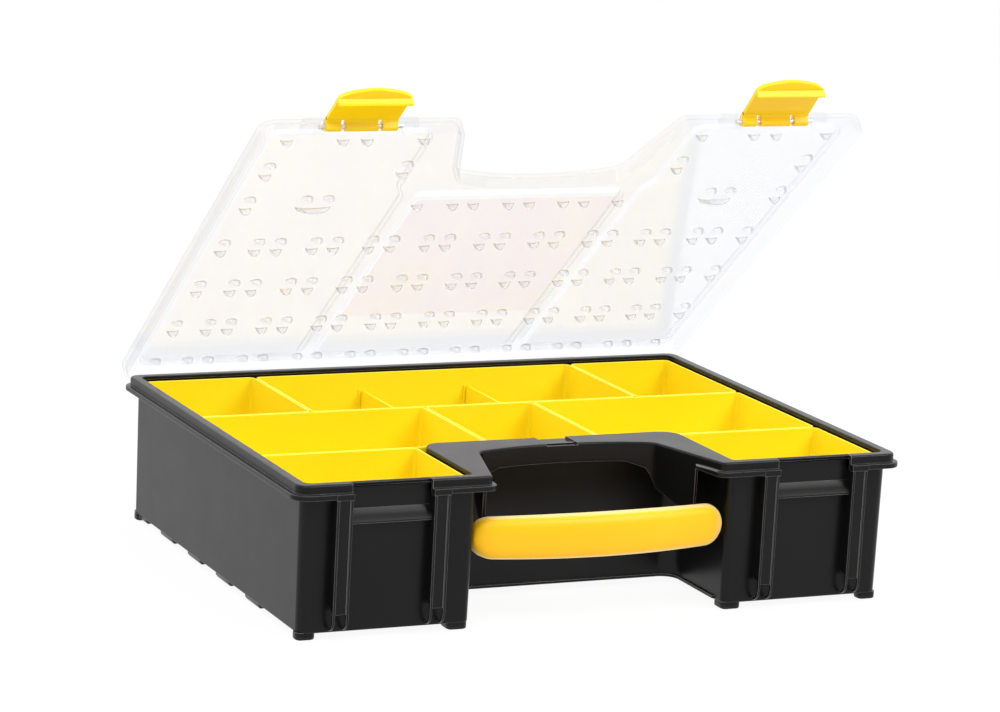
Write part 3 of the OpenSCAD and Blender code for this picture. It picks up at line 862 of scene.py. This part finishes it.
def latch_plate(x, shell):
    """Plate, and below it the crowned finger tab, flared outward."""
    columns = 20
    plate_top, shoulder, crown, corner, flare = 96.2, 71.0, 6.2, 1.2, 0.28
    inner, outer = [], []
    for share in (-1, -0.5, 0, 0.2, 0.4, 0.6, 0.8, 0.93, 1):
        row = []
        for i in range(columns + 1):
            u = 2 * i / columns - 1
            deep = corner + (crown - corner) * max(0.0, math.cos(math.pi / 2 * u)) ** 0.65
            z = shoulder - (deep if share > 0 else plate_top - shoulder) * share
            bend = flare * max(0.0, shoulder - z) ** 1.15
            row.append((x + LATCH_HALF * u * (1 - 0.05 * max(0.0, share) ** 3), LATCH_OUT - bend, z))
        rim = 0.5 if share == 1 else 0.0
        inner.append([(px, py + LATCH_T - rim, pz) for px, py, pz in row])
        outer.append([(px, py + rim, pz) for px, py, pz in row])
    shell.slab(inner, outer)


def latch_hook(x, shell):
    """Hook along the plate's inner face, which catches under the strike."""
    top, tip = 73.1, -157.1
    root, inner = LATCH_OUT + 0.6, LATCH_OUT + LATCH_T
    hook = [(root, top + 3.0), (inner, top + 2.4), (inner + 1.0, top + 0.4), (tip - 1.4, top),
            (tip - 0.8, top - 0.4), (tip - 0.8, top - 1.1), (tip - 2.2, top - 2.0), (root, top - 2.6)]
    shell.prism(hook, "X", x - LATCH_HALF - 0.6, x + LATCH_HALF + 0.6)


def latch_piece(side, material):
    """Latch, with its split knuckles, plate, finger tab and hook."""
    shell = Shell()
    x = LATCH_X if side == "right" else -LATCH_X
    latch_knuckles(x, shell)
    latch_plate(x, shell)
    latch_hook(x, shell)
    return piece(f"latch_{side}_plate", shell, latch_move(side), bevel=0.45, body=f"latch_{side}_body",
                 nodes=[f"latch_{side}"], material=material)


# ---- materials ----

def new_material(name):
    """An empty node material, with its nodes, links and output."""
    material = bpy.data.materials.new(name)
    material.use_nodes = True
    nodes, links = material.node_tree.nodes, material.node_tree.links
    nodes.clear()
    out = nodes.new("ShaderNodeOutputMaterial")
    return material, nodes, links, out


def noise(nodes, links, scale, detail):
    """A noise value from 0 to 1. scale is in features per metre."""
    where = nodes.new("ShaderNodeTexCoord")
    texture = nodes.new("ShaderNodeTexNoise")
    texture.inputs["Scale"].default_value = scale
    texture.inputs["Detail"].default_value = detail
    links.new(where.outputs["Object"], texture.inputs["Vector"])
    return texture.outputs["Fac"]


def ramp(nodes, links, source, stops):
    """A colour that follows a source through (place, colour) stops."""
    mixer = nodes.new("ShaderNodeValToRGB")
    mixer.color_ramp.elements[0].position = stops[0][0]
    mixer.color_ramp.elements[0].color = (*stops[0][1], 1)
    mixer.color_ramp.elements[1].position = stops[-1][0]
    mixer.color_ramp.elements[1].color = (*stops[-1][1], 1)
    for place, colour in stops[1:-1]:
        mixer.color_ramp.elements.new(place).color = (*colour, 1)
    links.new(source, mixer.inputs["Fac"])
    return mixer.outputs["Color"]


def spread(nodes, links, source, low, high):
    """A value between low and high that follows a 0 to 1 source."""
    scaled = nodes.new("ShaderNodeMapRange")
    scaled.inputs["To Min"].default_value = low
    scaled.inputs["To Max"].default_value = high
    links.new(source, scaled.inputs["Value"])
    return scaled.outputs["Result"]


def mix_shaders(nodes, links, share, first, second):
    """Mix of two shaders; share, a number or a socket, is the second one's part."""
    mixer = nodes.new("ShaderNodeMixShader")
    if isinstance(share, float):
        mixer.inputs["Fac"].default_value = share
    else:
        links.new(share, mixer.inputs["Fac"])
    links.new(first, mixer.inputs[1])
    links.new(second, mixer.inputs[2])
    return mixer.outputs["Shader"]


def moulded(name, dark, light, rough, grain, depth, specular=0.5, edge=None, rim=None, glow=0.0):
    """Moulded plastic: faint flow marks in the colour, fine grain in the surface and painted highlights along
    the edges.
    """
    material, nodes, links, out = new_material(name)
    base = nodes.new("ShaderNodeBsdfPrincipled")
    flow = noise(nodes, links, 9, 4)
    colour = ramp(nodes, links, flow, [(0.35, dark), (0.65, light)])
    # paler colour along the edges: a painted highlight, not wear
    if edge:
        colour = painted_edge_highlight(nodes, links, colour, edge)
    # paler colour where the surface is seen edge on: a painted sheen
    if rim:
        colour = painted_grazing_sheen(nodes, links, colour, rim)
    links.new(colour, base.inputs["Base Color"])
    patches = noise(nodes, links, 40, 2)
    links.new(spread(nodes, links, patches, rough - 0.05, rough + 0.05), base.inputs["Roughness"])
    base.inputs["Specular IOR Level"].default_value = specular
    if glow:
        base.inputs["Subsurface Weight"].default_value = glow
        base.inputs["Subsurface Radius"].default_value = (0.004, 0.002, 0.0004)
        base.inputs["Subsurface Scale"].default_value = 1.0
    bump_node = nodes.new("ShaderNodeBump")
    bump_node.inputs["Strength"].default_value = depth
    bump_node.inputs["Distance"].default_value = 0.0001
    links.new(noise(nodes, links, grain, 2), bump_node.inputs["Height"])
    links.new(bump_node.outputs["Normal"], base.inputs["Normal"])
    links.new(base.outputs["BSDF"], out.inputs["Surface"])
    return material


def painted_grazing_sheen(nodes, links, colour, pale):
    """Colour turned paler where the surface is seen edge on: a painted sheen, standing in for the light on
    the grip's rounded top and ends.
    """
    facing = nodes.new("ShaderNodeLayerWeight")
    facing.inputs["Blend"].default_value = 0.5
    share = nodes.new("ShaderNodeMapRange")
    share.inputs["From Min"].default_value = 0.35
    share.inputs["From Max"].default_value = 0.95
    links.new(facing.outputs["Facing"], share.inputs["Value"])
    mix = nodes.new("ShaderNodeMix")
    mix.data_type = "RGBA"
    links.new(share.outputs["Result"], mix.inputs["Factor"])
    links.new(colour, mix.inputs["A"])
    mix.inputs["B"].default_value = (*pale, 1)
    return mix.outputs["Result"]


def painted_edge_highlight(nodes, links, colour, edge_highlight_colour):
    """Colour turned paler where a rounded normal leaves the true one, which is along the edges: a painted
    highlight for the light that the rounded edges catch.
    """
    rounded = nodes.new("ShaderNodeBevel")
    rounded.samples = 6
    rounded.inputs["Radius"].default_value = 0.0007
    true = nodes.new("ShaderNodeNewGeometry")
    agree = nodes.new("ShaderNodeVectorMath")
    agree.operation = "DOT_PRODUCT"
    links.new(rounded.outputs["Normal"], agree.inputs[0])
    links.new(true.outputs["True Normal"], agree.inputs[1])
    edge_highlight_share = nodes.new("ShaderNodeMapRange")
    edge_highlight_share.inputs["From Min"].default_value = 0.99
    edge_highlight_share.inputs["From Max"].default_value = 0.86
    links.new(agree.outputs["Value"], edge_highlight_share.inputs["Value"])
    mix = nodes.new("ShaderNodeMix")
    mix.data_type = "RGBA"
    links.new(edge_highlight_share.outputs["Result"], mix.inputs["Factor"])
    links.new(colour, mix.inputs["A"])
    mix.inputs["B"].default_value = (*edge_highlight_colour, 1)
    return mix.outputs["Result"]


def clear_sheet(nodes, links, flow, ripple, edge_shade, tone):
    """A see-through sheet that greys and shines where it is seen edge on; the grey is painted shade, standing
    in for the refraction at its edges. tone below 1 darkens it all, as painted shade too.
    """
    facing = nodes.new("ShaderNodeLayerWeight")
    facing.inputs["Blend"].default_value = 0.5
    edge_on = facing.outputs["Facing"]
    sheet = nodes.new("ShaderNodeBsdfTransparent")
    stops = [(place, tuple(tone * c for c in colour)) for place, colour in
             ((0.0, (0.990, 0.994, 1.0)), (0.5, (0.988, 0.992, 0.998)), (0.85, (0.925, 0.925, 0.94)))]
    # see-through colour greying towards grazing view: painted shade for refraction
    links.new(ramp(nodes, links, edge_on, stops + [(1.0, edge_shade)]), sheet.inputs["Color"])
    shine = nodes.new("ShaderNodeBsdfGlossy")
    links.new(spread(nodes, links, flow, 0.06, 0.12), shine.inputs["Roughness"])
    links.new(ripple, shine.inputs["Normal"])
    shiny = ramp(nodes, links, edge_on,
                 [(0.0, (0.008,) * 3), (0.5, (0.012,) * 3), (0.8, (0.12,) * 3), (1.0, (0.5,) * 3)])
    return mix_shaders(nodes, links, shiny, sheet.outputs["BSDF"], shine.outputs["BSDF"])


def real_glass(nodes, links, flow, ripple):
    """Glass with a faint tint and ripples."""
    glass = nodes.new("ShaderNodeBsdfGlass")
    glass.inputs["IOR"].default_value = 1.4
    links.new(ramp(nodes, links, flow, [(0.3, (0.98, 0.98, 0.985)), (0.7, (0.99, 0.99, 0.995))]),
              glass.inputs["Color"])
    links.new(ripple, glass.inputs["Normal"])
    return glass.outputs["BSDF"]


def light_through(nodes, links, seen):
    """The seen shader, made plainly see-through for shadows and diffuse bounces."""
    through = nodes.new("ShaderNodeBsdfTransparent")
    through.inputs["Color"].default_value = (0.985, 0.985, 0.99, 1)
    path = nodes.new("ShaderNodeLightPath")
    either = nodes.new("ShaderNodeMath")
    either.operation = "MAXIMUM"
    links.new(path.outputs["Is Shadow Ray"], either.inputs[0])
    links.new(path.outputs["Is Diffuse Ray"], either.inputs[1])
    return mix_shaders(nodes, links, either.outputs["Value"], seen, through.outputs["BSDF"])


def clear_plastic(name, glass_share, edge_shade, tone=1.0):
    """Clear plastic: a thin sheet's look, mixed with real glass, with faint ripples in both."""
    material, nodes, links, out = new_material(name)
    flow = noise(nodes, links, 14, 3)
    ripple = nodes.new("ShaderNodeBump")
    ripple.inputs["Strength"].default_value = 0.05
    ripple.inputs["Distance"].default_value = 0.0005
    links.new(noise(nodes, links, 30, 1), ripple.inputs["Height"])
    normal = ripple.outputs["Normal"]
    sheet = clear_sheet(nodes, links, flow, normal, edge_shade, tone)
    glass = real_glass(nodes, links, flow, normal)
    seen = mix_shaders(nodes, links, glass_share, sheet, glass)
    links.new(light_through(nodes, links, seen), out.inputs["Surface"])
    return material


def tinted_film():
    """Label film with pale blocks of tint."""
    material, nodes, links, out = new_material("label_tint")
    through = nodes.new("ShaderNodeBsdfTransparent")
    clouds = noise(nodes, links, 12, 1)
    tint = ramp(nodes, links, clouds,
                [(0.40, (0.995, 0.980, 1.0)), (0.52, (1.0, 0.980, 0.998)), (0.64, (1.0, 0.987, 0.980))])
    links.new(tint, through.inputs["Color"])
    gloss = nodes.new("ShaderNodeBsdfPrincipled")
    gloss.inputs["Roughness"].default_value = 0.3
    links.new(tint, gloss.inputs["Base Color"])
    whole = mix_shaders(nodes, links, 0.03, through.outputs["BSDF"], gloss.outputs["BSDF"])
    links.new(whole, out.inputs["Surface"])
    return material


def drawn_steel():
    """Steel of the pins, with fine streaks in its colour and roughness."""
    material, nodes, links, out = new_material("pin_steel")
    base = nodes.new("ShaderNodeBsdfPrincipled")
    base.inputs["Metallic"].default_value = 1.0
    streaks = noise(nodes, links, 900, 2)
    links.new(ramp(nodes, links, streaks, [(0.3, (0.62, 0.62, 0.65)), (0.7, (0.80, 0.80, 0.83))]),
              base.inputs["Base Color"])
    links.new(spread(nodes, links, streaks, 0.25, 0.4), base.inputs["Roughness"])
    links.new(base.outputs["BSDF"], out.inputs["Surface"])
    return material


# ---- stage ----

def make_floor():
    """Pale floor that glows, so that it blends into the white background."""
    mesh = bpy.data.meshes.new("floor")
    s = 30.0
    mesh.from_pydata([(-s, -s, 0), (s, -s, 0), (s, s, 0), (-s, s, 0)], [], [(0, 1, 2, 3)])
    floor = new_object("floor", mesh)
    material, nodes, links, out = new_material("floor_paper")
    base = nodes.new("ShaderNodeBsdfDiffuse")
    base.inputs["Color"].default_value = (0.9, 0.9, 0.9, 1)
    glow = nodes.new("ShaderNodeEmission")
    glow.inputs["Strength"].default_value = 1.01
    paper = mix_shaders(nodes, links, 0.92, base.outputs["BSDF"], glow.outputs["Emission"])
    links.new(paper, out.inputs["Surface"])
    mesh.materials.append(material)


def area_light(name, place, aim, size, power):
    data = bpy.data.lights.new(name, "AREA")
    data.shape = "RECTANGLE"
    data.size, data.size_y = size
    data.energy = power
    light = new_object(name, data)
    light.location = place
    light.rotation_mode = "QUATERNION"
    light.rotation_quaternion = (Vector(aim) - Vector(place)).to_track_quat("-Z", "Y")


def make_world():
    """Bright behind and above the object, darker in front of it."""
    world = bpy.data.worlds.new("studio")
    bpy.context.scene.world = world
    world.use_nodes = True
    nodes, links = world.node_tree.nodes, world.node_tree.links
    nodes.clear()
    out = nodes.new("ShaderNodeOutputWorld")
    back = nodes.new("ShaderNodeBackground")
    where = nodes.new("ShaderNodeTexCoord")
    split = nodes.new("ShaderNodeSeparateXYZ")
    level = nodes.new("ShaderNodeMapRange")
    level.interpolation_type = "SMOOTHSTEP"
    level.inputs["From Min"].default_value = -0.8
    level.inputs["From Max"].default_value = 0.3
    level.inputs["To Min"].default_value = 0.25
    level.inputs["To Max"].default_value = 1.6
    links.new(where.outputs["Generated"], split.inputs["Vector"])
    links.new(split.outputs["Y"], level.inputs["Value"])
    links.new(level.outputs["Result"], back.inputs["Strength"])
    links.new(back.outputs["Background"], out.inputs["Surface"])


def make_camera():
    """Camera at the photograph's viewing angle."""
    azimuth, elevation, roll = -0.4368, 0.2025, 0.0531
    distance, shift_x, shift_z = 2.41739, 0.00239, 0.13048
    back = Vector((math.sin(azimuth) * math.cos(elevation), -math.cos(azimuth) * math.cos(elevation),
                   math.sin(elevation)))
    right = (-back).cross(Vector((0, 0, 1))).normalized()
    up = right.cross(-back)
    right, up = (math.cos(roll) * right + math.sin(roll) * up, math.cos(roll) * up - math.sin(roll) * right)
    data = bpy.data.cameras.new("camera")
    data.lens = 129.89
    data.clip_start, data.clip_end = 0.05, 100
    camera = new_object("camera", data)
    place = back * distance + right * shift_x + up * shift_z + (TO_FRAME @ Vector((0, 0, FOOT_H))) * MM
    camera.matrix_world = Matrix((
        (right.x, up.x, back.x, place.x),
        (right.y, up.y, back.y, place.y),
        (right.z, up.z, back.z, place.z),
        (0, 0, 0, 1),
    ))
    bpy.context.scene.camera = camera


def main():
    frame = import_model()

    # the tray's paler edge colour is a painted highlight along its rounded edges
    black = moulded("tray_black", (0.003, 0.003, 0.0033), (0.005, 0.0048, 0.0048), 0.30, 900, 0.12,
                    specular=0.2, edge=(0.22, 0.215, 0.21))
    yellow = moulded("bin_yellow", (1.0, 0.765, 0.007), (1.0, 0.80, 0.012), 0.38, 700, 0.05, glow=0.15)
    # the grip's pale colour where seen edge on is a painted sheen
    grip = moulded("grip_yellow", (1.0, 0.515, 0.004), (1.0, 0.555, 0.007), 0.40, 900, 0.08, specular=0.3,
                   rim=(1.0, 0.80, 0.42), glow=0.1)
    catch = moulded("latch_yellow", (1.0, 0.63, 0.002), (1.0, 0.68, 0.004), 0.34, 700, 0.05, specular=0.3,
                    glow=0.1)
    clear = clear_plastic("clear_lid", 0.05, (0.80, 0.80, 0.83))
    # the bumps' dark edge colour and lower tone are painted shade for their refraction
    clear_bumps = clear_plastic("clear_bumps", 0.40, (0.16, 0.16, 0.18), 0.91)
    film = tinted_film()
    steel = drawn_steel()

    tray_walls(black)
    tray_rim(black)
    tray_posts(black)
    tray_details(black)
    handle(grip)
    bin_piece("bin_back_left", -5 * UNIT, -3 * UNIT, 0, yellow)
    bin_piece("bin_back_long", -3 * UNIT, 3 * UNIT, 0, yellow, dividers=(-UNIT, UNIT))
    bin_piece("bin_back_right", 3 * UNIT, 5 * UNIT, 0, yellow)
    bin_piece("bin_middle_left", -5 * UNIT, -UNIT, 1, yellow)
    bin_piece("bin_middle_small", -UNIT, UNIT, 1, yellow)
    bin_piece("bin_middle_right", UNIT, 5 * UNIT, 1, yellow)
    bin_piece("bin_front_left", -5 * UNIT, -FRONT_BIN_X, 2, yellow)
    bin_piece("bin_front_right", FRONT_BIN_X, 5 * UNIT, 2, yellow)
    divider_piece("divider_left", -UNIT, yellow)
    divider_piece("divider_right", UNIT, yellow)
    lid_sheet(clear)
    lid_bumps(clear_bumps)
    lid_bosses(clear)
    label_film(film)
    latch_piece("left", catch)
    latch_piece("right", catch)
    for node in ("lid_hinge_pin_left", "lid_hinge_pin_right", "latch_pin_left", "latch_pin_right"):
        pin = frame["nodes"][node]
        pin.data.materials.clear()
        pin.data.materials.append(steel)

    make_floor()
    make_world()
    area_light("key", (-1.2, -1.4, 2.4), (0, 0, 0.1), (1.2, 1.2), 38)
    area_light("fill", (1.15, -1.75, 1.8), (0, 0, 0.1), (1.3, 1.3), 38)
    make_camera()
    bpy.context.scene.view_settings.view_transform = "Standard"

    bpy.context.view_layer.update()


main()
